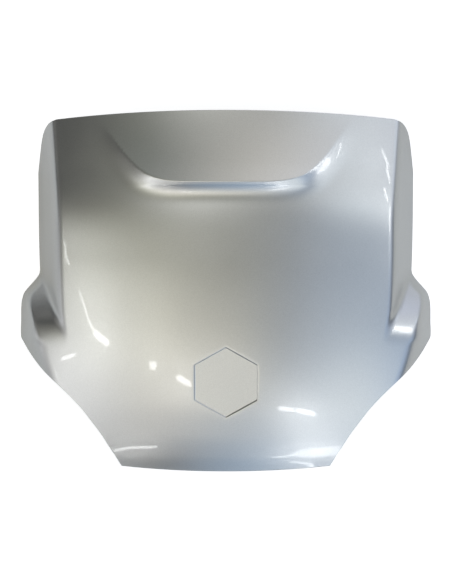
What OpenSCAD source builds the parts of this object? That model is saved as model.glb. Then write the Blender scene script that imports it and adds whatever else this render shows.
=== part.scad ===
// Scooter fairing panel: one moulded and painted plastic shell, crowned like a lid.
// X runs across the panel, +Y points to its raised front edge, and Z = 0 is the
// plane of the side rims that it lies on. The painted side faces up.

/* [Panel] */
// Width over both wings
panel_w = 410; // [340:1:480]
// Length from the front edge to the rear edge
panel_l = 342; // [280:1:400]
// Thickness of the moulded wall
wall = 3; // [2:0.1:4]

/* [Crown] */
// Height of the crown's centre line at its highest, above the side rims
crown_h = 94; // [82:1:108]
// Fall of the crown from the centre line to the full half width
crown_drop = 48.5; // [44:0.5:54]
// Exponent of the crown across the panel, two being a plain arc
crown_power = 2.1; // [2:0.1:2.6]
// How far the front and rear edges bow out at the middle
edge_bow = 4; // [1:0.5:8]

/* [Side walls] */
// Steepness of the side walls and of the wings' outer walls
wall_angle = 68; // [64:0.5:70]
// Depth of the rounding along the ridge between the top and a side wall
ridge_round = 17.5; // [10:0.5:22]

/* [Wings] */
// How far each wing stands out past the body's side wall
wing_reach = 18.5; // [12:0.5:30]
// Distance from the front edge back to the foot of the ledges
ledge_start = 142; // [135:1:155]
// Steepness of the ledge on top of each wing, which climbs towards the rear
ledge_angle = 40; // [36:1:44]
// Steepness with which the ledge also climbs in from its outer crease to the crown
ledge_rise = 26; // [20:1:32]
// Depth of the rounding where the ledge runs out into the crown
ledge_round = 28; // [22:1:34]
// Depth of the rounding along a ledge's outer crease
crease_round = 9; // [5:1:12]
// Depth of the hollow rounding between a ledge and the body's side wall
valley_round = 12; // [8:1:15]

/* [Raised step] */
// Height of the sharp face round the raised front area
step_h = 7; // [5:0.5:9]
// Half the width of that face where it runs straight across the panel
step_half_w = 77; // [65:1:90]
// Distance from the front edge back to that face
step_reach = 71; // [55:1:80]
// Angle at which the face's two arms run forward
arm_angle = 55; // [45:1:65]
// Depth of the rounding between the straight face and its arms
corner_round = 42; // [20:1:55]
// Steepness of the face
step_angle = 53; // [42:1:58]
// Depth of the tight rounding along the top of the face
step_round = 0.8; // [0.4:0.1:3]
// Depth of the wide hollow along its foot
step_foot = 24; // [10:1:30]
// Height of the low swell that leads up to the face
swell_h = 1; // [0:0.5:3]
// Width of that swell
swell_w = 55; // [30:1:70]

/* [Badge seat] */
// Width of the hexagonal badge seat across its flats
seat_flats = 59; // [50:1:64]
// Depth of the seat's flat floor, below where the surface's highest point over it was
seat_depth = 2.3; // [2.2:0.1:2.8]
// Distance from the rear edge to the middle of the seat
seat_from_rear = 87; // [75:1:100]

/* [Screw bosses] */
// Distance between bosses across the panel
boss_across = 150; // [120:1:170]
// Distance between bosses along the panel
boss_along = 190; // [160:1:205]
// Distance from the middle of the panel to the middle of the four bosses
boss_forward = 12; // [0:1:20]
// Diameter of a boss
boss_d = 10; // [8:0.5:12]
// Pilot hole for a 5 mm self-tapping screw
pilot_d = 4.2; // [3.4:0.1:4.6]
// Depth of the pilot hole
pilot_depth = 16; // [10:1:20]
// Height of the bosses' ends above the side rims
boss_end = 46; // [36:1:52]
// Thickness of the two ribs that brace a boss
rib_t = 2; // [1.6:0.1:2.4]
// Reach of a rib from the middle of its boss
rib_reach = 12; // [9:0.5:14]

/* [Hidden] */

half_w = panel_w / 2;
half_l = panel_l / 2;
body_half_w = half_w - wing_reach;
wall_slope = tan(wall_angle);
ledge_slope = tan(ledge_angle);
rise_slope = tan(ledge_rise);
step_slope = tan(step_angle);
step_y = half_l - step_reach;
seat_y = seat_from_rear - half_l;
seat_r = seat_flats / 2 / cos(30);
overrun = 2 * wall;
boss_places = [for (side = [-1, 1]) for (end = [-1, 1])
    [side * boss_across / 2, boss_forward + end * boss_along / 2]];

// Mesh rows from the rear edge to the front edge, as shares of the length in each
// stretch with the count of rows in it
row_stretches = [[0, 0.09, 5], [0.09, 0.34, 10], [0.34, 0.56, 11], [0.56, 0.7, 4],
    [0.7, 0.77, 5], [0.77, 0.81, 6], [0.81, 0.97, 7], [0.97, 1, 3]];
// Sides of a boss, and points along each half of a rib's root
boss_sides = 36;
rib_points = 6;
// Mesh columns in each of the four strips from the centre line to the rim
strip_counts = [14, 4, 4, 4];

// Height of the centre line as shares of crown_h, and the fall across the panel as shares
// of crown_drop, by shares of the length from the rear
crown_shares = [[0, 0.528, 0.98], [0.045, 0.603, 0.99], [0.11, 0.691, 1], [0.2, 0.787, 1.015],
    [0.32, 0.875, 1.02], [0.46, 0.943, 1.015], [0.6, 0.988, 1], [0.73, 1, 0.99], [0.86, 0.945, 1.05],
    [1, 0.88, 1.14]];
// Body side line as shares of half the body width, by shares of the length
body_line_shares = [[0.2, 0.94], [0.36, 0.968], [0.5, 0.99], [0.6, 1], [0.7, 1.004], [0.8, 1.006],
    [0.9, 1.008], [1, 1.01]];
// Wing outer line as shares of half the width, by shares of the length
wing_line_shares = [[0.1, 0.85], [0.28, 0.952], [0.345, 0.985], [0.372, 1], [0.42, 1], [0.466, 0.999],
    [0.486, 0.994], [0.504, 0.983], [0.52, 0.961], [0.538, 0.934], [0.557, 0.907], [0.6, 0.83],
    [0.66, 0.7], [0.75, 0.5]];
// Cut from the wing to the rear corner, as shares of half the width
rear_cut_shares = [[0, 0.481], [0.037, 0.516], [0.072, 0.552], [0.107, 0.588], [0.141, 0.63],
    [0.175, 0.674], [0.209, 0.728], [0.243, 0.789], [0.275, 0.851], [0.306, 0.907],
    [0.338, 0.959], [0.372, 1]];
// Cut that rakes the front ends of the side walls, as shares of half the width
front_cut_shares = [[0.82, 0.925], [0.905, 0.9], [0.945, 0.885], [0.965, 0.868],
    [0.979, 0.838], [0.988, 0.79], [1, 0.7]];
// The three mesh lines inside the rim, as shares of the half width of the outline,
// by shares of the length: end of the crown, end of the ridge, and crease
strip_shares = [[0, 0.62, 0.75, 0.88], [0.24, 0.66, 0.8, 0.92], [0.3, 0.68, 0.8, 0.92],
    [0.38, 0.71, 0.8, 0.895], [0.47, 0.73, 0.84, 0.95], [0.55, 0.79, 0.87, 0.93],
    [0.9, 0.83, 0.9, 0.95], [1, 0.84, 0.93, 0.97]];

function share_of(y) = y / panel_l + 0.5;

// Value of column c of a table at a place along its first column: a smooth curve
// through the table's points
function curve(table, at, c = 1) =
    let (last = len(table) - 1,
         i = min(last - 1, max(0, len([for (row = table) if (row[0] <= at) 1]) - 1)),
         p1 = table[i], p2 = table[i + 1],
         p0 = table[max(0, i - 1)], p3 = table[min(last, i + 2)],
         span = p2[0] - p1[0],
         t = min(1, max(0, (at - p1[0]) / span)),
         m1 = (p2[c] - p0[c]) / (p2[0] - p0[0]) * span,
         m2 = (p3[c] - p1[c]) / (p3[0] - p1[0]) * span)
    (2 * t ^ 3 - 3 * t ^ 2 + 1) * p1[c] + (t ^ 3 - 2 * t ^ 2 + t) * m1
        + (3 * t ^ 2 - 2 * t ^ 3) * p2[c] + (t ^ 3 - t ^ 2) * m2;

// The lower or the higher of two heights, with their crossing rounded over depth r
function soft_min(a, b, r) = min(a, b) - r * max(0, 1 - abs(a - b) / r) ^ 3 / 6;
function soft_max(a, b, r) = -soft_min(-a, -b, r);

function body_line(y) = body_half_w * curve(body_line_shares, share_of(y));
function wing_line(y) = half_w * curve(wing_line_shares, share_of(y));
function side_line(y) = soft_max(body_line(y), wing_line(y), valley_round / 2);
function cut_line(y) =
    share_of(y) < wing_line_shares[3][0] ? half_w * curve(rear_cut_shares, share_of(y))
    : share_of(y) > front_cut_shares[0][0] ? half_w * curve(front_cut_shares, share_of(y))
    : half_w * 2;
function outline(y) = min(side_line(y), cut_line(y));

// Height of a wall that leans in from a line on the floor
function lean(x, line, turn) = wall_slope * (line - x) / sqrt(1 + turn ^ 2);
function turn_of_wing(y) = (wing_line(y + wall) - wing_line(y - wall)) / (2 * wall);
function body_z(x, y) = lean(x, body_line(y), 0);
function ledge_z(x, y) = ledge_slope * (half_l - ledge_start - y) + rise_slope * (body_half_w - x);
function wing_z(x, y) = soft_min(ledge_z(x, y), lean(x, wing_line(y), turn_of_wing(y)), crease_round);

// Distance inside the face of the step, whose line is straight behind and runs forward
// in an arm on each side
function step_inside(x, y) = soft_min(y - step_y,
    (step_half_w - x) * sin(arm_angle) + (y - step_y) * cos(arm_angle), corner_round);

// What the step adds: a low swell and a sharp face, both of which fade to the front edge
function step_z(x, y) =
    let (inside = step_inside(x, y),
         fade = max(0, min(1, (half_l - y) / step_reach)),
         face = soft_max(0, soft_min(step_h, step_slope * inside + step_h / 2, step_round), step_foot),
         swell = swell_h * max(0, min(1, 1 + inside / swell_w)) ^ 2)
    fade ^ 2 * face + fade * swell;

function crown_z(x, y) = crown_h * curve(crown_shares, share_of(y))
    - crown_drop * curve(crown_shares, share_of(y), 2) * (x / half_w) ^ crown_power;

// Height of the painted surface on one side of the middle: the lower of the crown and what
// stands beside it, with a deeper rounding over the wing than over the body's side wall
function half_z(x, y) =
    let (body = body_z(x, y), wing = wing_z(x, y),
         on_wing = max(0, min(1, 0.5 + (wing - body) / (2 * valley_round))),
         depth = ridge_round + (ledge_round - ridge_round) * on_wing)
    soft_min(crown_z(x, y) + step_z(x, y), soft_max(body, wing, valley_round), depth);
function top_z(x, y) = half_z(abs(x), y);
function top_normal(x, y) =
    let (n = [(top_z(x - wall, y) - top_z(x + wall, y)) / (2 * wall),
              (top_z(x, y - wall) - top_z(x, y + wall)) / (2 * wall), 1])
    n / norm(n);

// A row's place at the rim, and the bow of the row towards the middle
rows = [for (s = row_stretches) for (i = [0:s[2] - 1]) s[0] + (s[1] - s[0]) * i / s[2], 1];
row_span = panel_l - 2 * edge_bow;
function row_y(v) = (v - 0.5) * row_span;
function bowed_y(v, s) = row_y(v) + edge_bow * (2 * v - 1) * (1 - s ^ 2);

// Shares across the half width at which the columns of one row stand
function columns(v) =
    let (marks = [0, curve(strip_shares, v, 1), curve(strip_shares, v, 2), curve(strip_shares, v, 3), 1])
    [for (k = [0:3]) for (i = [0:strip_counts[k] - 1])
        marks[k] + (marks[k + 1] - marks[k]) * i / strip_counts[k], 1];
function whole_row(v) =
    let (half = columns(v), last = len(half) - 1)
    [for (i = [-last:last]) sign(i) * half[abs(i)]];

function outer_point(v, s) =
    let (x = s * outline(row_y(v)), y = bowed_y(v, s))
    [x, y, max(0, top_z(x, y))];

// The inner side lies one wall thickness in, and the rim stays flat where it meets the floor
function inner_point(v, s) =
    let (p = outer_point(v, s), n = top_normal(p[0], p[1]),
         lift = min(1, p[2] / (4 * wall)),
         level = [n[0], n[1], 0] / max(0.25, n[0] ^ 2 + n[1] ^ 2))
    p - wall * (lift * n + (1 - lift) * level);

function grid(points) = [for (row = points) each row];
function sheet_faces(nr, nc, start, flip) =
    [for (j = [0:nr - 2]) for (i = [0:nc - 2])
        let (a = start + j * nc + i, b = a + 1, c = a + nc, d = c + 1)
        each (flip ? [[a, b, d], [a, d, c]] : [[a, d, b], [a, c, d]])];
function edge_faces(loop, drop) =
    [for (k = [0:len(loop) - 1])
        let (a = loop[k], b = loop[(k + 1) % len(loop)])
        each [[a, b, b + drop], [a, b + drop, a + drop]]];
function sheet_loop(nr, nc) = concat(
    [for (i = [0:nc - 2]) i],
    [for (j = [0:nr - 2]) j * nc + nc - 1],
    [for (i = [nc - 1:-1:1]) (nr - 1) * nc + i],
    [for (j = [nr - 1:-1:1]) j * nc]);

// A closed solid between an upper and a lower sheet of points
module between(upper, lower) {
    nr = len(upper);
    nc = len(upper[0]);
    polyhedron(points = concat(grid(upper), grid(lower)), faces = concat(
        sheet_faces(nr, nc, 0, false), sheet_faces(nr, nc, nr * nc, true),
        edge_faces(sheet_loop(nr, nc), nr * nc)));
}

module shell() {
    between([for (v = rows) [for (s = whole_row(v)) outer_point(v, s)]],
        [for (v = rows) [for (s = whole_row(v)) inner_point(v, s)]]);
}

// A hexagonal prism square to the surface at the middle of the badge seat
module seat_prism(r, low, high) {
    up = top_normal(0, seat_y);
    translate([0, seat_y, top_z(0, seat_y)])
        rotate([-asin(up[1]), 0, 0])
            translate([0, 0, low])
                rotate([0, 0, 30])
                    cylinder(r = r, h = high - low, $fn = 6);
}

// Level at which bosses and ribs are rooted, in the middle of the wall
function root_z(x, y) = top_z(x, y) - wall / 2;

// A round post from the bosses' common plane up into the wall
module post(x, y) {
    last = boss_sides - 1;
    ring = [for (k = [0:last]) let (a = 360 * k / boss_sides)
        [x + boss_d / 2 * cos(a), y + boss_d / 2 * sin(a)]];
    low = [for (p = ring) [p[0], p[1], boss_end]];
    high = [for (p = ring) [p[0], p[1], root_z(p[0], p[1])]];
    polyhedron(points = concat(low, high, [[x, y, root_z(x, y)]]), faces = concat(
        [[for (k = [0:last]) k]],
        [for (k = [0:last]) let (next = (k + 1) % boss_sides)
            [k, k + boss_sides, next + boss_sides, next]],
        [for (k = [0:last]) let (next = (k + 1) % boss_sides)
            [k + boss_sides, 2 * boss_sides, next + boss_sides]]));
}

// A boss and the two ribs that brace it
module boss(x, y) {
    rib_end = boss_end + pilot_depth / 2;
    post(x, y);
    for (along = [0, 1]) {
        root = [for (k = [rib_points:-1:-rib_points]) let (t = rib_reach * k / rib_points)
            [t, root_z(x + t * (1 - along), y + t * along)]];
        low = root[2 * rib_points][1] - 1.5 * wall;
        high = root[0][1] - 1.5 * wall;
        translate([x, y, 0])
            rotate([90, 0, 90 * along])
                linear_extrude(height = rib_t, center = true)
                    polygon(concat([[-rib_reach, low], [-boss_d / 4, rib_end], [boss_d / 4, rib_end],
                        [rib_reach, high]], root));
    }
}

module fairing_panel() {
    color("silver")
        difference() {
            union() {
                shell();
                seat_prism(seat_r + wall, -seat_depth - wall, wall / 10 - seat_depth);
                for (p = boss_places)
                    boss(p[0], p[1]);
            }
            seat_prism(seat_r, -seat_depth, overrun);
            for (p = boss_places)
                translate([p[0], p[1], boss_end - overrun])
                    cylinder(d = pilot_d, h = pilot_depth + overrun, $fn = 48);
        }
}

fairing_panel();
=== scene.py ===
# %% [markdown]
# # A silver scooter fairing panel
# The real panel is one injection moulding, sprayed with a silver metallic base coat and
# clear lacquer. Its looks are all reflections: the crowned top, the ridges and the raised
# step show only through what the paint mirrors. So this scene spends its effort on three
# things: a dense mesh whose surface follows the same rule as the CAD solid, a layered
# paint, and a soft studio whose brightness changes slowly with direction.

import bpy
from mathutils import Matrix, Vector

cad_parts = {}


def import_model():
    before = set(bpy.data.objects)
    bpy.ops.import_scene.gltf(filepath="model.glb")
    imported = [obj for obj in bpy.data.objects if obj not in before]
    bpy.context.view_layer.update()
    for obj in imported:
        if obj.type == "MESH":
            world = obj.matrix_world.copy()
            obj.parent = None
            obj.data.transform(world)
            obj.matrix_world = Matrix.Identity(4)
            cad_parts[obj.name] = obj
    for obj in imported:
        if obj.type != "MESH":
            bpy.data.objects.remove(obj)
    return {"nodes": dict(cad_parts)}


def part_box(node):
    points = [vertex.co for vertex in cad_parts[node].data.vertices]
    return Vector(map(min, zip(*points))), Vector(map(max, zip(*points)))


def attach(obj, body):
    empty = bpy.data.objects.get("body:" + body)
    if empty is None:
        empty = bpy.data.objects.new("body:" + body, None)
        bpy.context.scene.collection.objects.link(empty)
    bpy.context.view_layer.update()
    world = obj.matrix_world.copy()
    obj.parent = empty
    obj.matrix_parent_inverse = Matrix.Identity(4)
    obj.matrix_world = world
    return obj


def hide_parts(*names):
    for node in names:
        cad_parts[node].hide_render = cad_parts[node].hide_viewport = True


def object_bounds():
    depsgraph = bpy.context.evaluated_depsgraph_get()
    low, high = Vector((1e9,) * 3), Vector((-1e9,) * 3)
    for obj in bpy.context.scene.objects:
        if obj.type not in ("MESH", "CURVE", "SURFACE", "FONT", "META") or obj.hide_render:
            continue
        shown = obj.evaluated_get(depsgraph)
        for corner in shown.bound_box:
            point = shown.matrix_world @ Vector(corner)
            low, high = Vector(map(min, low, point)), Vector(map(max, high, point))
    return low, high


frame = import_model()
print("Nodes in the packed frame:", len(frame["nodes"]))

# %% The CAD box, kept for comparison at the end
import math

import bpy
import numpy as np
from mathutils import Matrix, Vector
from mathutils.geometry import delaunay_2d_cdt

PANEL_NODE = "fairing_panel"
MM = 0.001
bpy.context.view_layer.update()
panel_low, panel_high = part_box(PANEL_NODE)
print("CAD box in mm:", [round((b - a) / MM, 1) for a, b in zip(panel_low, panel_high)])

# %% [markdown]
# ## The surface as a rule
# A moulded panel's surface could be sculpted, lofted or drawn with subdivision. Here it is
# a height for every place on the floor, because the CAD solid uses the same rule, and then
# the dressed panel can't drift away from it. The sizes below are the CAD ones, in
# millimetres, and each table of shares describes one line of the panel by a few points:
# first the place along the panel, from its rear at 0 to its front at 1, then the share of
# the full half width there, or for the crown the shares of its height and of its fall.

# %% Driving sizes in millimetres
panel_w, panel_l, wall = 410, 342, 3
crown_h, crown_drop, crown_power, edge_bow = 94, 48.5, 2.1, 4
wing_reach, wall_angle, ridge_round = 18.5, 68, 17.5
ledge_start, ledge_angle, ledge_rise, ledge_round = 142, 40, 26, 28
crease_round, valley_round = 9, 12
step_h, step_half_w, step_reach, arm_angle, corner_round = 7, 77, 71, 55, 42
step_angle, step_round, step_foot, swell_h, swell_w = 53, 0.8, 24, 1, 55
seat_flats, seat_depth, seat_from_rear = 59, 2.3, 87
boss_across, boss_along, boss_forward, boss_d, boss_end = 150, 190, 12, 10, 46
pilot_d, pilot_depth, rib_t, rib_reach = 4.2, 16, 2, 12

crown_shares = [(0, 0.528, 0.98), (0.045, 0.603, 0.99), (0.11, 0.691, 1), (0.2, 0.787, 1.015),
                (0.32, 0.875, 1.02), (0.46, 0.943, 1.015), (0.6, 0.988, 1), (0.73, 1, 0.99),
                (0.86, 0.945, 1.05), (1, 0.88, 1.14)]
body_line_shares = [(0.2, 0.94), (0.36, 0.968), (0.5, 0.99), (0.6, 1), (0.7, 1.004),
                    (0.8, 1.006), (0.9, 1.008), (1, 1.01)]
wing_line_shares = [(0.1, 0.85), (0.28, 0.952), (0.345, 0.985), (0.372, 1), (0.42, 1),
                    (0.466, 0.999), (0.486, 0.994), (0.504, 0.983), (0.52, 0.961),
                    (0.538, 0.934), (0.557, 0.907), (0.6, 0.83), (0.66, 0.7), (0.75, 0.5)]
rear_cut_shares = [(0, 0.481), (0.037, 0.516), (0.072, 0.552), (0.107, 0.588), (0.141, 0.63),
                   (0.175, 0.674), (0.209, 0.728), (0.243, 0.789), (0.275, 0.851),
                   (0.306, 0.907), (0.338, 0.959), (0.372, 1)]
front_cut_shares = [(0.82, 0.925), (0.905, 0.9), (0.945, 0.885), (0.965, 0.868), (0.979, 0.838),
                    (0.988, 0.79), (1, 0.7)]
print("The rule's panel is", panel_w, "mm wide and", panel_l, "mm long")


# %% Curves through a table, and rounded crossings of two heights
def curve(table, at, column=1):
    """A smooth curve through a table's points, at the places given."""
    place, value = (np.array([row[k] for row in table], float) for k in (0, column))
    at = np.asarray(at, float)
    i = np.clip(np.searchsorted(place, at, side="right") - 1, 0, len(place) - 2)
    before, after = np.maximum(i - 1, 0), np.minimum(i + 2, len(place) - 1)
    span = place[i + 1] - place[i]
    t = np.clip((at - place[i]) / span, 0, 1)
    start = (value[i + 1] - value[before]) / (place[i + 1] - place[before]) * span
    end = (value[after] - value[i]) / (place[after] - place[i]) * span
    return ((2 * t**3 - 3 * t**2 + 1) * value[i] + (t**3 - 2 * t**2 + t) * start
            + (3 * t**2 - 2 * t**3) * value[i + 1] + (t**3 - t**2) * end)


def soft_min(a, b, depth):
    """The lower of two heights, with their crossing rounded over a depth."""
    return np.minimum(a, b) - depth * np.maximum(0, 1 - np.abs(a - b) / depth) ** 3 / 6


def soft_max(a, b, depth):
    """The higher of two heights, with their crossing rounded in the same way."""
    return -soft_min(-a, -b, depth)


def slope(degrees):
    """Rise for each step along, from an angle."""
    return math.tan(math.radians(degrees))


print("A ridge of two equal heights is rounded off by", round(ridge_round / 6, 1), "mm")

# %% The outline on the floor
half_w, half_l = panel_w / 2, panel_l / 2
body_half_w = half_w - wing_reach


def share_of(y):
    """Place along the panel, from 0 at the rear to 1 at the front."""
    return y / panel_l + 0.5


def body_line(y):
    """Half width at which the side wall would meet the floor, with no wing."""
    return body_half_w * curve(body_line_shares, share_of(y))


def wing_line(y):
    """Half width at which the wing's wall meets the floor."""
    return half_w * curve(wing_line_shares, share_of(y))


def outline(y):
    """Half width of the panel at each y: its sides, cut by the rear and front slants."""
    share = share_of(y)
    sides = soft_max(body_line(y), wing_line(y), valley_round / 2)
    rear, front = (half_w * curve(cut, share) for cut in (rear_cut_shares, front_cut_shares))
    rear = np.where(share < rear_cut_shares[-1][0], rear, panel_w)
    front = np.where(share > front_cut_shares[0][0], front, panel_w)
    return np.minimum(sides, np.minimum(rear, front))


print("Half width at the middle:", round(float(outline(0)), 1), "mm")


# %% Side walls and wings, raised step and crown
def lean(x, line, turn):
    """Height of a wall that leans in from a line on the floor, which turns as it goes."""
    return slope(wall_angle) * (line - x) / np.sqrt(1 + turn**2)


def body_z(x, y):
    """Height of the side wall."""
    return lean(x, body_line(y), 0)


def wing_z(x, y):
    """Height of the wing: a ledge that falls to the front, cut by the wing's own wall."""
    turn = (wing_line(y + wall) - wing_line(y - wall)) / (2 * wall)
    ledge = (slope(ledge_angle) * (half_l - ledge_start - y)
             + slope(ledge_rise) * (body_half_w - x))
    return soft_min(ledge, lean(x, wing_line(y), turn), crease_round)


def step_z(x, y):
    """What the raised area adds: a low swell, then a sharp face, both fading to the front."""
    arm = math.radians(arm_angle)
    ahead = y - (half_l - step_reach)
    past_arm = (step_half_w - x) * math.sin(arm) + ahead * math.cos(arm)
    inside = soft_min(ahead, past_arm, corner_round)
    fade = np.clip((half_l - y) / step_reach, 0, 1)
    face = soft_min(step_h, slope(step_angle) * inside + step_h / 2, step_round)
    swell = swell_h * np.clip(1 + inside / swell_w, 0, 1) ** 2
    return fade**2 * soft_max(0, face, step_foot) + fade * swell


def top_z(x, y):
    """Height of the painted surface."""
    x = np.abs(x)
    share = share_of(y)
    crown = crown_h * curve(crown_shares, share)
    crown = crown - crown_drop * curve(crown_shares, share, 2) * (x / half_w) ** crown_power
    body, wing = body_z(x, y), wing_z(x, y)
    on_wing = np.clip(0.5 + (wing - body) / (2 * valley_round), 0, 1)
    depth = ridge_round + (ledge_round - ridge_round) * on_wing
    return soft_min(crown + step_z(x, y), soft_max(body, wing, valley_round), depth)


def top_normal(x, y, reach):
    """Direction out of the surface, from its slope over a reach to each side."""
    n = np.stack([top_z(x - reach, y) - top_z(x + reach, y),
                  top_z(x, y - reach) - top_z(x, y + reach),
                  np.full(np.shape(x), 2.0 * reach)], -1)
    return n / np.linalg.norm(n, axis=-1, keepdims=True)


print("Height at the middle:", round(float(top_z(0, 0)), 1), "mm")

# %% [markdown]
# ## The mesh grid
# The two sheets of the shell, painted and bare, share one grid of rows and columns. A
# finer grid all over would spend its faces where the panel is plain. So the rows, which bow
# like the front and rear edges, crowd along the wings and at the face of the step, and the
# columns crowd at the ridge, at the wing's crease and in the hollow between them. The grid
# stops just short of the rim, which gets its own rounded rows.

# %% Rows and columns
row_stretches = [(0, 0.1, 14), (0.1, 0.34, 30), (0.34, 0.56, 38), (0.56, 0.71, 14),
                 (0.71, 0.77, 10), (0.77, 0.82, 34), (0.82, 1, 44)]
strip_shares = [(0, 0.62, 0.75, 0.88), (0.24, 0.66, 0.8, 0.92), (0.3, 0.68, 0.8, 0.92),
                (0.38, 0.71, 0.8, 0.895), (0.47, 0.73, 0.84, 0.95), (0.55, 0.79, 0.87, 0.93),
                (0.9, 0.83, 0.9, 0.95), (1, 0.84, 0.93, 0.97)]
strip_counts = (58, 14, 14, 14)
RIM_ROUND = 0.8
row_span = panel_l - 2 * edge_bow


def spread(marks, counts):
    """Places from mark to mark, in equal steps between each two."""
    steps = [np.linspace(a, b, n + 1)[:-1] for a, b, n in zip(marks, marks[1:], counts)]
    return np.concatenate(steps + [marks[-1:]])


def column_shares(v):
    """Places across the width where the columns of one row stand, from -1 to 1."""
    marks = [0] + [float(curve(strip_shares, v, k)) for k in (1, 2, 3)] + [1]
    half = spread(marks, strip_counts)
    return np.concatenate([-half[:0:-1], half])


rows = spread([row[0] for row in row_stretches] + [1], [row[2] for row in row_stretches])
rim_v = np.repeat(rows[:, None], 2 * sum(strip_counts) + 1, axis=1)
rim_s = np.stack([column_shares(v) for v in rows])
grid_v = 0.5 + (rim_v - 0.5) * (1 - 2 * RIM_ROUND / row_span)
grid_s = rim_s * (1 - RIM_ROUND / half_w)
print("Grid:", grid_v.shape[0], "rows of", grid_v.shape[1], "points")


# %% From grid to panel
INNER_SPAN, LEVEL_BELOW, LEAST_STEEPNESS, CORRECTIONS = 2 * wall, 4 * wall, 0.25, 6


def row_y(v):
    """Place along the panel of a row, at the rim's ends of that row."""
    return (v - 0.5) * row_span


def on_floor(v, s):
    """Place on the floor of a grid point."""
    return s * outline(row_y(v)), row_y(v) + edge_bow * (2 * v - 1) * (1 - s**2)


def outer(v, s):
    """Points of the painted side."""
    x, y = on_floor(v, s)
    return np.stack([x, y, np.maximum(0, top_z(x, y))], -1)


def inner(v, s):
    """The bare side lies one wall in, and its rim stays flat where it meets the floor."""
    p = outer(v, s)
    n = top_normal(p[..., 0], p[..., 1], INNER_SPAN)
    lift = np.minimum(1, p[..., 2:] / LEVEL_BELOW)
    steepness = (n[..., :2] ** 2).sum(-1, keepdims=True)
    level = n * (1, 1, 0) / np.maximum(LEAST_STEEPNESS, steepness)
    return p - wall * (lift * n + (1 - lift) * level)


def to_grid(x, y):
    """Grid coordinates of a place on the floor, near the middle line."""
    v = y / row_span + 0.5
    for _ in range(CORRECTIONS):
        s = x / outline(row_y(v))
        v = (y - edge_bow * (2 * v - 1) * (1 - s**2)) / row_span + 0.5
    return v, s


print("A place is found again at", [round(float(c), 4) for c in to_grid(*on_floor(0.3, 0.1))])

# %% [markdown]
# ## The empty badge seat
# The badge is gone, and its seat is a flat six-sided floor sunk into the crowned surface.
# A boolean would leave hard edges that no paint has. So the seat is built from rings: a
# rounded brim on the surface, a short wall with a little draft, a fillet and the flat
# floor. The same rings, one wall larger, make the flat pad behind the seat.

# %% Rings of the seat, in its own tilted plane
CORNER_STEPS, SIDE_STEPS, ROUND_STEPS = 4, 18, 5
seat_corner_r, seat_draft, seat_brim, seat_fillet = 1.6, 0.25, 0.9, 0.8
MOST_BRIM, MOST_FILLET = 0.45, 0.4
seat_y = seat_from_rear - half_l
seat_centre = np.array([0, seat_y, float(top_z(0, seat_y))])
seat_up = top_normal(0, seat_y, wall)
seat_along = np.array([0, seat_up[2], -seat_up[1]])


def hexagon(flats, offset):
    """A hexagon with rounded corners, grown by an offset: its points across and along."""
    reach = (flats / 2 - seat_corner_r) / math.cos(math.radians(30))
    corners = []
    for k in range(6):
        turn = math.radians(90 + 60 * k)
        arc = turn + np.radians(np.linspace(-30, 30, CORNER_STEPS + 1))
        centre = reach * np.array([math.cos(turn), math.sin(turn)])
        round_it = np.stack([np.cos(arc), np.sin(arc)], -1)
        corners.append(centre + (seat_corner_r + offset) * round_it)
    ring = []
    for corner, following in zip(corners, corners[1:] + corners[:1]):
        ring += [corner, np.linspace(corner[-1], following[0], SIDE_STEPS + 1)[1:-1]]
    return np.concatenate(ring)


def seat_point(across, height):
    """From the seat's plane to the panel."""
    return (seat_centre + across[:, :1] * np.array([1, 0, 0]) + across[:, 1:] * seat_along
            + height[:, None] * seat_up)


def surface_height(across):
    """Height over the seat's plane at which the painted surface lies."""
    height = np.zeros(len(across))
    for _ in range(CORRECTIONS):
        p = seat_point(across, height)
        height -= (p[:, 2] - top_z(p[:, 0], p[:, 1])) * seat_up[2]
    return height


def seat_rings(flats, below):
    """Rings from the surface, or one wall below it, down to the seat's floor there."""
    base = hexagon(flats, 0)
    grow = hexagon(flats, 1) - base
    depth = surface_height(base) + seat_depth
    brim = np.minimum(seat_brim, MOST_BRIM * depth)
    fillet = np.minimum(seat_fillet, MOST_FILLET * depth)
    rings = []
    for turn in np.radians(np.linspace(0, 90, ROUND_STEPS)):
        across = base + (brim * (1 - math.sin(turn)))[:, None] * grow
        height = surface_height(across) - below - brim * (1 - math.cos(turn))
        rings.append(seat_point(across, height))
    for turn in np.radians(np.linspace(0, 90, ROUND_STEPS)):
        across = base - (seat_draft + fillet * (1 - math.cos(turn)))[:, None] * grow
        rings.append(seat_point(across, fillet * (1 - math.sin(turn)) - below - seat_depth))
    return rings


seat_wall = (surface_height(hexagon(seat_flats, 0)) + seat_depth).round(2)
print("The seat's wall is", float(seat_wall.min()), "to", float(seat_wall.max()), "mm deep")

# %% [markdown]
# ## One sheet of the shell
# A sheet is the grid with a window left open round the seat. The strip between the
# window's square border and the six-sided brim could be bridged by hand, but the two have
# different numbers of points. It is filled by a Delaunay triangulation instead, worked out
# on flat grid coordinates and then lifted to the surface with the rest.

# %% A sheet with the seat in it
WINDOW = 45
FILL_CLEARANCE = 1.6
INSIDE_THE_LOOPS, SAME_POINT = 1, 1e-9
n_rows, n_columns = grid_v.shape
point_number = np.arange(n_rows * n_columns).reshape(n_rows, n_columns)
row_in = np.flatnonzero(np.abs(row_y(rows) - seat_y) < WINDOW)
middle_x = on_floor(grid_v, grid_s)[0][row_in[len(row_in) // 2]]
column_in = np.flatnonzero(np.abs(middle_x) < WINDOW)
window = point_number[row_in[0]:row_in[-1] + 1, column_in[0]:column_in[-1] + 1]


def border(numbers):
    """Point numbers round the edge of a block, anticlockwise seen from above."""
    return np.concatenate([numbers[0, :-1], numbers[:-1, -1],
                           numbers[-1, :0:-1], numbers[:0:-1, 0]])


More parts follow.
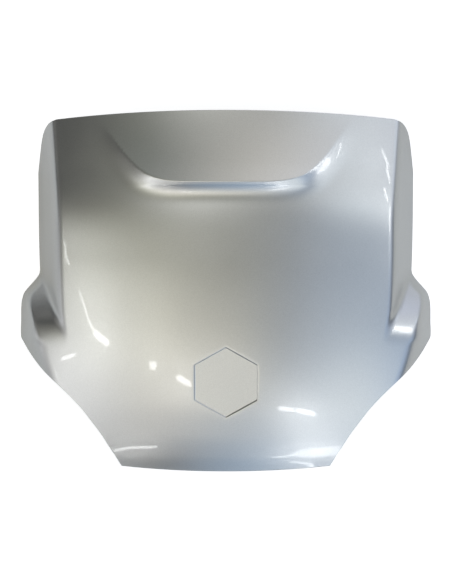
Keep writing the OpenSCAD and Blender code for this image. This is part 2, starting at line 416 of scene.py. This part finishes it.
def squares(numbers):
    """Four-sided faces between the neighbouring points of a block."""
    corners = [numbers[:-1, :-1], numbers[:-1, 1:], numbers[1:, 1:], numbers[1:, :-1]]
    return np.stack(corners, -1).reshape(-1, 4)


def bands(rings):
    """Four-sided faces between each two neighbouring rings, the outer ring first."""
    faces = []
    for a, b in zip(rings, rings[1:]):
        faces += np.stack([a, np.roll(a, -1), np.roll(b, -1), b], -1).tolist()
    return faces


def fill(flat, edge, ring):
    """Triangles between the window's edge and the brim, on flat grid coordinates."""
    inside = window[1:-1, 1:-1].ravel()
    centre = flat[ring].mean(0)
    spokes = flat[inside][:, None] - flat[ring][None]
    nearest = np.linalg.norm(spokes, axis=-1)
    reach = np.linalg.norm(flat[ring] - centre, axis=-1)
    away = np.linalg.norm(flat[inside] - centre, axis=-1) - reach[nearest.argmin(1)]
    free = inside[(nearest.min(1) > FILL_CLEARANCE) & (away > 0)]
    numbers = np.concatenate([edge, ring, free])
    loops = [(k, (k + 1) % len(edge)) for k in range(len(edge))]
    loops += [(len(edge) + k, len(edge) + (k + 1) % len(ring)) for k in range(len(ring))]
    places = [tuple(p) for p in flat[numbers]]
    made = delaunay_2d_cdt(places, loops, [], INSIDE_THE_LOOPS, SAME_POINT)
    source = np.array([numbers[origins[0]] for origins in made[3]])
    triangles = source[np.array(made[2])]
    return triangles[~np.isin(triangles, ring).all(1)].tolist()


def sheet(place, flats, below):
    """Points and faces of one sheet: the grid first, then the seat's rings."""
    points = place(grid_v, grid_s).reshape(-1, 3)
    rings = seat_rings(flats, below)
    start = len(points) + len(rings[0]) * np.arange(len(rings))
    ring_numbers = [first + np.arange(len(rings[0])) for first in start]
    ring_v, ring_s = to_grid(*(rings[0] + below * seat_up)[:, :2].T)
    flat = np.concatenate([np.stack([grid_s.ravel() * half_w, grid_v.ravel() * row_span], -1),
                           np.stack([ring_s * half_w, ring_v * row_span], -1)])
    open_faces = {tuple(face) for face in squares(window).tolist()}
    faces = [face for face in squares(point_number).tolist() if tuple(face) not in open_faces]
    faces += fill(flat, border(window), ring_numbers[0])
    faces += bands(ring_numbers)
    faces.append(ring_numbers[-1].tolist())
    return np.concatenate([points] + rings), faces


painted_points, painted_faces = sheet(outer, seat_flats, 0)
bare_points, bare_faces = sheet(inner, seat_flats + 2 * wall, wall)
print("Painted sheet:", len(painted_points), "points,", len(painted_faces), "faces")

# %% [markdown]
# ## The rim
# Paint pools to a small radius on every edge, and that radius catches a line of light
# that makes the rim read as a real edge. Each edge is a quadratic curve, drawn from the
# sheet to the wall's end face, with the sharp corner as its control point.

# %% Rounded rim between the two sheets
RIM_STEPS = 4


def rounded(start, corner, end):
    """Rings on the curve from start to end that turns at the corner."""
    turns = np.linspace(0, 1, RIM_STEPS + 1)[1:]
    return [(1 - t) ** 2 * start + 2 * t * (1 - t) * corner + t**2 * end for t in turns]


edge_numbers = border(point_number)
rim_at = rim_v.ravel()[edge_numbers], rim_s.ravel()[edge_numbers]
top_corner, low_corner = outer(*rim_at), inner(*rim_at)
thickness = np.linalg.norm(low_corner - top_corner, axis=-1, keepdims=True)
across_rim = (low_corner - top_corner) * RIM_ROUND / thickness
rim_rings = rounded(painted_points[edge_numbers], top_corner, top_corner + across_rim)
rim_rings.append(low_corner - across_rim)
rim_rings += rounded(low_corner - across_rim, low_corner, bare_points[edge_numbers])[:-1]
print("Rim:", len(rim_rings), "rings of", len(edge_numbers), "points")

# %% [markdown]
# ## Screw bosses
# The panel shows no screw on its painted side, so it is held from beneath: four bosses
# with pilot holes stand under it, each braced by ribs that are rooted along the wall.
# Copies placed by hand would have to be fitted one by one, and four equal pieces on a
# curved ceiling are work for Geometry Nodes: one boss is drawn once and set on four
# points, and a ray sends each of its upper points straight up to the wall above it.

# %% One boss, whose upper points still lie at its lower end
BOSS_SIDES = 48
BOSS_CHAMFER = 0.4
RIB_POINTS = 7
RIB_EDGE = wall


def boss_mesh():
    """A boss with its pilot hole and four half ribs, and how far into the wall each point goes.

    A point with 0 stays where it is, and one with less than 0 ends below the wall.
    """
    boss_r, pilot_r = boss_d / 2, pilot_d / 2
    profile = [(boss_r, 0, wall / 2), (boss_r, BOSS_CHAMFER, 0), (boss_r - BOSS_CHAMFER, 0, 0),
               (pilot_r + BOSS_CHAMFER, 0, 0), (pilot_r, BOSS_CHAMFER, 0),
               (pilot_r, pilot_depth, 0)]
    turns = np.linspace(0, 2 * math.pi, BOSS_SIDES, endpoint=False)
    points = [(r * math.cos(t), r * math.sin(t), z) for r, z, _ in profile for t in turns]
    into = [depth for _, _, depth in profile for _ in turns]
    rings = [k * BOSS_SIDES + np.arange(BOSS_SIDES) for k in range(len(profile))]
    faces = [face[::-1] for face in bands(rings)]
    faces += [rings[0].tolist(), rings[-1][::-1].tolist()]
    start, end, half = boss_r - wall / 2, rib_reach, rib_t / 2
    loop = [(start, pilot_depth / 2, 0), (end, 0, -RIB_EDGE)]
    loop += [(along, 0, wall / 2) for along in np.linspace(end, start, RIB_POINTS)]
    count = len(loop)
    for turn in range(4):
        cos, sin = round(math.cos(turn * math.pi / 2)), round(math.sin(turn * math.pi / 2))
        first = len(points)
        for side in (-half, half):
            points += [(along * cos - side * sin, along * sin + side * cos, z)
                       for along, z, _ in loop]
            into += [depth for _, _, depth in loop]
        front = list(range(first, first + count))
        back = [k + count for k in front]
        faces += [front, back[::-1]] + bands([front[::-1], back[::-1]])
    return points, faces, into


def new_mesh(name, points, faces):
    """A mesh object at the origin, from points in millimetres."""
    mesh = bpy.data.meshes.new(name)
    mesh.from_pydata([tuple(p) for p in np.asarray(points) * MM], [], faces)
    mesh.shade_smooth()
    item = bpy.data.objects.new(name, mesh)
    bpy.context.scene.collection.objects.link(item)
    return item


boss_points, boss_faces, boss_into = boss_mesh()
one_boss = new_mesh("one_boss", boss_points, boss_faces)
into_wall = one_boss.data.attributes.new("into_wall", "FLOAT", "POINT")
into_wall.data.foreach_set("value", np.array(boss_into) * MM)
boss_places = [(side * boss_across / 2, boss_forward + end * boss_along / 2, boss_end)
               for side in (-1, 1) for end in (-1, 1)]
boss_seats = new_mesh("boss_seats", boss_places, [])
ceiling = new_mesh("ceiling", bare_points, bare_faces)
print("One boss:", len(boss_points), "points, to be set at", len(boss_places), "places")


# %% A small function for nodes
def add(tree, kind, inputs=None, **settings):
    """Adds a node, with its settings, its values and its links from other sockets."""
    node = tree.nodes.new(kind)
    for name, value in settings.items():
        setattr(node, name, value)
    for name, value in (inputs or {}).items():
        if isinstance(value, bpy.types.NodeSocket):
            tree.links.new(value, node.inputs[name])
        else:
            node.inputs[name].default_value = value
    return node


print("Nodes are made in Blender", bpy.app.version_string)


# %% The tree that sets bosses under a wall
AT_REST = MM / 100


def boss_tree():
    """The tree, and the identifier of each of its inputs."""
    tree = bpy.data.node_groups.new("bosses_under_a_wall", "GeometryNodeTree")
    kinds = {"Seats": "NodeSocketGeometry", "Boss": "NodeSocketObject",
             "Wall": "NodeSocketObject", "Ray Length": "NodeSocketFloat",
             "Material": "NodeSocketMaterial"}
    sockets = {}
    for name, kind in kinds.items():
        socket = tree.interface.new_socket(name, in_out="INPUT", socket_type=kind)
        sockets[name] = socket.identifier
    tree.interface.new_socket("Bosses", in_out="OUTPUT", socket_type="NodeSocketGeometry")
    given = add(tree, "NodeGroupInput").outputs
    boss = add(tree, "GeometryNodeObjectInfo", {"Object": given["Boss"]})
    wall_over = add(tree, "GeometryNodeObjectInfo", {"Object": given["Wall"]})
    placed = add(tree, "GeometryNodeInstanceOnPoints", {
        "Points": given["Seats"], "Instance": boss.outputs["Geometry"]})
    solid = add(tree, "GeometryNodeRealizeInstances", {"Geometry": placed.outputs["Instances"]})
    ray = add(tree, "GeometryNodeRaycast", {
        "Target Geometry": wall_over.outputs["Geometry"], "Ray Direction": (0, 0, 1),
        "Ray Length": given["Ray Length"]})
    depth = add(tree, "GeometryNodeInputNamedAttribute", {"Name": "into_wall"},
                data_type="FLOAT").outputs["Attribute"]
    stays = add(tree, "ShaderNodeMath", {0: depth, 1: 0.0, 2: AT_REST}, operation="COMPARE")
    moves = add(tree, "ShaderNodeMath", {0: 1.0, 1: stays.outputs[0]}, operation="SUBTRACT")
    lift = add(tree, "ShaderNodeCombineXYZ", {"Z": depth})
    target = add(tree, "ShaderNodeVectorMath", {
        0: ray.outputs["Hit Position"], 1: lift.outputs[0]}, operation="ADD")
    grown = add(tree, "GeometryNodeSetPosition", {
        "Geometry": solid.outputs["Geometry"], "Selection": moves.outputs[0],
        "Position": target.outputs[0]})
    coated = add(tree, "GeometryNodeSetMaterial", {
        "Geometry": grown.outputs["Geometry"], "Material": given["Material"]})
    add(tree, "NodeGroupOutput", {"Bosses": coated.outputs["Geometry"]})
    return tree, sockets


growing, growing_inputs = boss_tree()
print("The tree has", len(growing.nodes), "nodes, and inputs", list(growing_inputs))


# %% Bosses grown under the wall, and the tree taken away again
def grown_bosses(finish):
    """The four bosses as one mesh, made by the tree."""
    grow = boss_seats.modifiers.new("grow", "NODES")
    grow.node_group = growing
    values = {"Boss": one_boss, "Wall": ceiling, "Ray Length": panel_l * MM, "Material": finish}
    for name, value in values.items():
        grow[growing_inputs[name]] = value
    seen = boss_seats.evaluated_get(bpy.context.evaluated_depsgraph_get())
    mesh = bpy.data.meshes.new_from_object(seen)
    boss_seats.modifiers.remove(grow)
    bpy.data.node_groups.remove(growing)
    print("Bosses:", len(mesh.vertices), "points,", len(mesh.polygons), "faces")
    return mesh


# %% [markdown]
# ## Paint and bare plastic
# The outer finish has layers that each leave their mark. The plastic is primed and sprayed
# with a base coat of fine aluminium flakes, which reflects softly and glitters a little.
# Clear lacquer over it mirrors sharply, and its slight orange peel breaks up the edges of
# what it mirrors. One glossy grey would give the colour but not this double reflection, so
# the shader's own coat is used. The flakes are finer than a pixel, so they are drawn
# coarser here. The hidden side is the bare dark ABS, matt from the mould, with overspray
# along the rim.

# %% Colours, and small helpers for materials
def linear(code):
    """A colour from its sRGB hex code."""
    parts = [int(code[k:k + 2], 16) / 255 for k in (0, 2, 4)]
    return tuple(p / 12.92 if p < 0.04045 else ((p + 0.055) / 1.055) ** 2.4 for p in parts) + (1,)


def new_material(name):
    """A material with an empty tree, and that tree."""
    material = bpy.data.materials.new(name)
    material.use_nodes = True
    material.node_tree.nodes.clear()
    return material, material.node_tree


def per_mm(size):
    """Noise scale at which a pattern repeats about every so many millimetres."""
    return 1 / (size * MM)


FLAKE_MM, PEEL_MM, MOTTLE_MM, GRAIN_MM, OVERSPRAY_MM = 0.5, 2.6, 45, 0.35, 1.2
ALUMINIUM, SHADED_ALUMINIUM, BARE_ABS, WORN_ABS = "d8d9d7", "cfd0ce", "3a3c3e", "47494b"
COLOUR_A, COLOUR_B, MIXED = 6, 7, 2
print("The flakes' colour as light:", [round(part, 3) for part in linear(ALUMINIUM)[:3]])


# %% Silver paint
def silver_paint():
    """Base coat and lacquer: two reflections, one soft and one sharp."""
    material, tree = new_material("silver metallic base coat under clear lacquer")
    where = add(tree, "ShaderNodeTexCoord").outputs["Object"]
    flakes = add(tree, "ShaderNodeTexVoronoi", {"Vector": where, "Scale": per_mm(FLAKE_MM)})
    mottle = add(tree, "ShaderNodeTexNoise", {
        "Vector": where, "Scale": per_mm(MOTTLE_MM), "Detail": 3.0})
    brightness = add(tree, "ShaderNodeSeparateColor", {"Color": flakes.outputs["Color"]})
    tone = add(tree, "ShaderNodeMix", {
        "Factor": brightness.outputs["Red"], COLOUR_A: linear(SHADED_ALUMINIUM),
        COLOUR_B: linear(ALUMINIUM)}, data_type="RGBA")
    rough = add(tree, "ShaderNodeMapRange", {
        "Value": mottle.outputs[0], "From Min": 0.3, "From Max": 0.7,
        "To Min": 0.29, "To Max": 0.32})
    glint = add(tree, "ShaderNodeBump", {
        "Height": brightness.outputs["Green"], "Strength": 0.12, "Distance": FLAKE_MM * MM / 10})
    peel = add(tree, "ShaderNodeTexNoise", {
        "Vector": where, "Scale": per_mm(PEEL_MM), "Detail": 1.0})
    waves = add(tree, "ShaderNodeBump", {
        "Height": peel.outputs[0], "Strength": 0.25, "Distance": 0.02 * MM})
    paint = add(tree, "ShaderNodeBsdfPrincipled", {
        "Base Color": tone.outputs[MIXED], "Metallic": 1.0, "Roughness": rough.outputs[0],
        "Normal": glint.outputs[0], "Coat Weight": 1.0, "Coat Roughness": 0.04,
        "Coat IOR": 1.5, "Coat Normal": waves.outputs[0]})
    add(tree, "ShaderNodeOutputMaterial", {"Surface": paint.outputs[0]})
    return material


paint_finish = silver_paint()
print("Outer finish:", paint_finish.name)


# %% Bare plastic with overspray
def bare_plastic():
    """Matt grained plastic, speckled with paint where the overspray attribute says so."""
    material, tree = new_material("bare dark ABS with silver overspray")
    where = add(tree, "ShaderNodeTexCoord").outputs["Object"]
    grain, mottle, specks = (
        add(tree, "ShaderNodeTexNoise", {"Vector": where, "Scale": per_mm(size), "Detail": detail})
        for size, detail in ((GRAIN_MM, 2.0), (MOTTLE_MM, 4.0), (OVERSPRAY_MM, 5.0)))
    tone = add(tree, "ShaderNodeMix", {
        "Factor": mottle.outputs[0], COLOUR_A: linear(BARE_ABS), COLOUR_B: linear(WORN_ABS)},
        data_type="RGBA")
    sprayed = add(tree, "ShaderNodeAttribute", attribute_name="overspray")
    amount = add(tree, "ShaderNodeMath", {
        0: sprayed.outputs["Fac"], 1: specks.outputs[0]}, operation="ADD")
    mask = add(tree, "ShaderNodeMapRange", {
        "Value": amount.outputs[0], "From Min": 0.85, "From Max": 1.25})
    colour = add(tree, "ShaderNodeMix", {
        "Factor": mask.outputs[0], COLOUR_A: tone.outputs[MIXED],
        COLOUR_B: linear(SHADED_ALUMINIUM)}, data_type="RGBA")
    surface = add(tree, "ShaderNodeBump", {
        "Height": grain.outputs[0], "Strength": 0.3, "Distance": 0.05 * MM})
    plastic = add(tree, "ShaderNodeBsdfPrincipled", {
        "Base Color": colour.outputs[MIXED], "Metallic": mask.outputs[0], "Roughness": 0.55,
        "IOR": 1.53, "Normal": surface.outputs[0]})
    add(tree, "ShaderNodeOutputMaterial", {"Surface": plastic.outputs[0]})
    return material


bare_finish = bare_plastic()
print("Hidden side's finish:", bare_finish.name)

# %% [markdown]
# ## One shell from all its parts
# Sheets, rim and bosses join into one mesh, because they are one moulding. Smooth shading
# alone would blend the normals of neighbouring faces, and the reflections in the lacquer
# would ripple. So the painted sheet gets its normals from the rule itself, and the seat's
# floor those of its plane.

# %% Join the parts
SHARP_ANGLE = 40


def offset_faces(faces, first, flip=False):
    """Faces whose points are numbered from another first point, turned over if asked."""
    return [[first + k for k in (face[::-1] if flip else face)] for face in faces]


boss_mesh_grown = grown_bosses(bare_finish)
grown_points = np.array([vertex.co for vertex in boss_mesh_grown.vertices]) / MM
grown_faces = [list(polygon.vertices) for polygon in boss_mesh_grown.polygons]
bare_first = len(painted_points)
rim_first = bare_first + len(bare_points)
boss_first = rim_first + len(rim_rings) * len(edge_numbers)
rim_numbers = list(np.arange(rim_first, boss_first).reshape(len(rim_rings), -1))
rim_bands = bands([edge_numbers] + rim_numbers + [bare_first + edge_numbers])
rim_faces = [face[::-1] for face in rim_bands]
shell_points = np.concatenate([painted_points, bare_points] + rim_rings + [grown_points])
painted_part = painted_faces + rim_faces
bare_part = offset_faces(bare_faces, bare_first, flip=True)
bare_part += offset_faces(grown_faces, boss_first)
for helper in (one_boss, boss_seats, ceiling):
    bpy.data.objects.remove(helper)
shell = new_mesh("fairing_panel_shell", shell_points, painted_part + bare_part)
for finish in (paint_finish, bare_finish):
    shell.data.materials.append(finish)
shell.data.polygons.foreach_set("material_index", [0] * len(painted_part) + [1] * len(bare_part))
shell.data.set_sharp_from_angle(angle=math.radians(SHARP_ANGLE))
print("Shell:", len(shell.data.vertices), "points,", len(shell.data.polygons), "faces")

# %% Overspray along the rim, and normals from the rule
OVERSPRAY_REACH = 9
to_side = (1 - np.abs(grid_s)) * half_w
to_edge = np.minimum(to_side, np.minimum(grid_v, 1 - grid_v) * row_span).ravel()
spray_share = np.zeros(len(shell_points))
spray_share[bare_first:bare_first + grid_v.size] = np.clip(1 - to_edge / OVERSPRAY_REACH, 0, 1)
overspray = shell.data.attributes.new("overspray", "FLOAT", "POINT")
overspray.data.foreach_set("value", spray_share)

NORMAL_REACH = 0.3
normals = np.zeros((len(shell_points), 3))
x, y = painted_points[:grid_v.size, 0], painted_points[:grid_v.size, 1]
off_floor = top_z(x, y) > NORMAL_REACH * slope(wall_angle)
normals[:grid_v.size][off_floor] = top_normal(x, y, NORMAL_REACH)[off_floor]
seat_sides = len(hexagon(seat_flats, 0))
normals[len(painted_points) - seat_sides:len(painted_points)] = seat_up
shell.data.normals_split_custom_set_from_vertices(normals.tolist())
print("Points with a normal from the rule:", int(off_floor.sum()))

# %% The shell stands for the CAD node
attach(shell, "root")
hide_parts(PANEL_NODE)
low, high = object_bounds()
print("Dressed box in mm:", [round((b - a) / MM, 1) for a, b in zip(low, high)])

# %% [markdown]
# ## Floor and light
# The photograph is a catalogue shot: pure white ground, no shadow to speak of, and large
# soft sources round the panel. The ground is a sheet of white paper that adds enough light
# of its own towards the camera to come out white, and still takes the panel's shadow. The
# steep side walls mirror the paper, and beyond its edge a darker room. Area lamps could
# light the rest, but each would show its own edges in the lacquer. So the light is a world
# of soft lobes, each a colour that fades with the angle from its direction, over a darker
# band along the horizon.

# %% Floor
FLOOR_SIZE, FLOOR_WHITE, FLOOR_FIBRE, FLOOR_GLOW = 1.3, "f0f0ee", "ededed", 0.7


def floor_material():
    """White paper, which glows a little towards the camera alone."""
    material, tree = new_material("white paper floor")
    ray = add(tree, "ShaderNodeLightPath")
    where = add(tree, "ShaderNodeTexCoord").outputs["Object"]
    fibre = add(tree, "ShaderNodeTexNoise", {"Vector": where, "Scale": per_mm(MOTTLE_MM)})
    tone = add(tree, "ShaderNodeMix", {
        "Factor": fibre.outputs[0], COLOUR_A: linear(FLOOR_WHITE), COLOUR_B: linear(FLOOR_FIBRE)},
        data_type="RGBA")
    glow = add(tree, "ShaderNodeMath", {
        0: ray.outputs["Is Camera Ray"], 1: FLOOR_GLOW}, operation="MULTIPLY")
    paper = add(tree, "ShaderNodeBsdfDiffuse", {"Color": tone.outputs[MIXED]})
    lit = add(tree, "ShaderNodeEmission", {"Strength": glow.outputs[0]})
    both = add(tree, "ShaderNodeAddShader", {0: paper.outputs[0], 1: lit.outputs[0]})
    add(tree, "ShaderNodeOutputMaterial", {"Surface": both.outputs[0]})
    return material


reach = FLOOR_SIZE / 2 / MM
floor_corners = [(-reach, -reach, 0), (reach, -reach, 0), (reach, reach, 0), (-reach, reach, 0)]
floor = new_mesh("floor", floor_corners, [(0, 1, 2, 3)])
floor.data.materials.append(floor_material())
print("Floor:", FLOOR_SIZE, "m square")

# %% World of soft lobes
WORLD_STRENGTH = 1.25
room_grey, horizon_grey, HORIZON_WIDTH = "c6c3c3", "2c2e33", 0.35
world_lobes = [(-170, 72, 3, "424221"), (-162, 46, 50, "ffffea"), (-140, 62, 60, "fffcea"),
               (-108, 48, 25, "ede1cf"), (-28, 34, 11, "abc9f3"), (0, 46, 15, "244263"),
               (74, 26, 12, "eadbb4"), (120, 74, 42, "fffffc"), (118, 42, 20, "60665d"),
               (-94, 64, 57, "fff9ea"), (-148, 34, 19, "fcfcff"), (-90, 28, 12, "93aecc"),
               (-40, 40, 32, "f6fcff"), (64, 14, 8, "dee7ff"), (20, 48, 31, "eaf3fc"),
               (150, 30, 21, "212427"), (-108, 30, 40, "5a5145"), (-178, 30, 46, "2d2d21"),
               (22, 14, 34, "e4edfc"), (-168, 2, 36, "d8d8db")]


def world():
    """The room as the panel sees it, and plain white as the camera sees it."""
    studio = bpy.data.worlds.new("soft studio")
    studio.use_nodes = True
    tree = studio.node_tree
    tree.nodes.clear()
    toward = add(tree, "ShaderNodeTexCoord").outputs["Generated"]
    far = add(tree, "ShaderNodeRGB").outputs[0]
    far.default_value = linear(room_grey)
    up = add(tree, "ShaderNodeSeparateXYZ", {"Vector": toward}).outputs["Z"]
    height = add(tree, "ShaderNodeMath", {0: up, 1: HORIZON_WIDTH}, operation="DIVIDE").outputs[0]
    square = add(tree, "ShaderNodeMath", {0: height, 1: height}, operation="MULTIPLY")
    fade = add(tree, "ShaderNodeMath", {0: square.outputs[0], 1: -1.0}, operation="MULTIPLY")
    level = add(tree, "ShaderNodeMath", {0: fade.outputs[0]}, operation="EXPONENT")
    light = add(tree, "ShaderNodeMix", {
        "Factor": level.outputs[0], COLOUR_A: far, COLOUR_B: linear(horizon_grey)},
        data_type="RGBA").outputs[MIXED]
    for azimuth, elevation, tightness, code in world_lobes:
        a, e = math.radians(azimuth), math.radians(elevation)
        middle = (math.cos(a) * math.cos(e), math.sin(a) * math.cos(e), math.sin(e))
        along = add(tree, "ShaderNodeVectorMath", {0: toward, 1: middle}, operation="DOT_PRODUCT")
        fall = add(tree, "ShaderNodeMath", {
            0: along.outputs["Value"], 1: 1.0}, operation="SUBTRACT")
        scaled = add(tree, "ShaderNodeMath", {
            0: fall.outputs[0], 1: float(tightness)}, operation="MULTIPLY")
        share = add(tree, "ShaderNodeMath", {0: scaled.outputs[0]}, operation="EXPONENT")
        light = add(tree, "ShaderNodeMix", {
            "Factor": share.outputs[0], COLOUR_A: light, COLOUR_B: linear(code)},
            data_type="RGBA").outputs[MIXED]
    room = add(tree, "ShaderNodeBackground", {"Color": light, "Strength": WORLD_STRENGTH})
    white = add(tree, "ShaderNodeBackground", {"Color": (1, 1, 1, 1), "Strength": 1.0})
    ray = add(tree, "ShaderNodeLightPath")
    seen = add(tree, "ShaderNodeMixShader", {
        0: ray.outputs["Is Camera Ray"], 1: room.outputs[0], 2: white.outputs[0]})
    add(tree, "ShaderNodeOutputWorld", {"Surface": seen.outputs[0]})
    return studio


scene = bpy.context.scene
scene.world = world()
print("World lobes:", len(world_lobes))

# %% [markdown]
# ## Tubes and windows
# Ceiling tubes leave thin white streaks in the lacquer, and two windows leave broad ones on
# the rear edge and the right wing. Streaks could be painted on, but they would stay where
# they are when the panel is turned. So they are lamps: the mirrored direction at each
# streak in the photograph gave the place of its lamp, on a ceiling taken to be 2.4 m over
# the floor. Each has the place of its two ends there and its width, in millimetres.

# %% Ceiling tubes and windows
CEILING, TUBE_RADIANCE, WINDOW_RADIANCE = 2400, 9, 4.5
tubes = [(-2920, 150, -2560, -330, 30), (-2350, -590, -2060, -860, 22),
         (-2060, -860, -1750, -945, 75), (-1045, -1115, -935, -1115, 90),
         (-640, -1230, -430, -1330, 75), (740, -1775, 985, -1855, 100),
         (1035, -1865, 1390, -2045, 100), (-2170, -3400, -1760, -3150, 60),
         (-1760, -3150, -1150, -2960, 60), (780, -3400, 1250, -3240, 60),
         (1230, -4000, 1830, -4380, 60), (3110, 1580, 3050, 1680, 50),
         (2790, 1430, 2755, 1020, 45), (-3060, -1330, -2570, -1170, 36),
         (-3410, -1570, -3370, -1780, 36)]
windows = [(1250, -3280, 2250, -3400, 260), (3750, 0, 3450, 900, 420)]


def ceiling_lamp(name, radiance, x0, y0, x1, y1, width):
    """A flat lamp from one place on the ceiling to another, facing the panel."""
    start, end = Vector((x0, y0, CEILING)) * MM, Vector((x1, y1, CEILING)) * MM
    middle, along = (start + end) / 2, (end - start).normalized()
    back = (middle - along * middle.dot(along)).normalized()
    lamp = bpy.data.lights.new(name, "AREA")
    lamp.shape = "RECTANGLE"
    lamp.size, lamp.size_y = (end - start).length, width * MM
    lamp.energy = radiance * math.pi * lamp.size * lamp.size_y
    item = bpy.data.objects.new(name, lamp)
    turn = Matrix((along, back.cross(along), back)).transposed().to_4x4()
    item.matrix_world = Matrix.Translation(middle) @ turn
    item.visible_camera = False
    bpy.context.scene.collection.objects.link(item)


for place in tubes:
    ceiling_lamp("tube", TUBE_RADIANCE, *place)
for place in windows:
    ceiling_lamp("window", WINDOW_RADIANCE, *place)
print("Tubes:", len(tubes), "and windows:", len(windows))

# %% [markdown]
# ## Camera
# The panel was photographed from straight above. A camera without perspective would fit its
# outline too, but not how its side walls spread, which places the camera about 1.2 m over
# the floor, with one pixel to a millimetre there. Blender fits the sensor's width to the
# picture's longer side, which is 584 pixels.

# %% Camera
CAMERA_X, CAMERA_Y, CAMERA_HEIGHT = 0.2, 1.2, 1200
LONG_SIDE, SENSOR = 584, 36
view = bpy.data.cameras.new("camera")
view.sensor_width = SENSOR
view.lens = SENSOR * CAMERA_HEIGHT / LONG_SIDE
camera = bpy.data.objects.new("camera", view)
camera.location = Vector((CAMERA_X, CAMERA_Y, CAMERA_HEIGHT)) * MM
scene.collection.objects.link(camera)
scene.camera = camera
scene.view_settings.view_transform = "Standard"
print("Lens:", round(view.lens, 1), "mm")
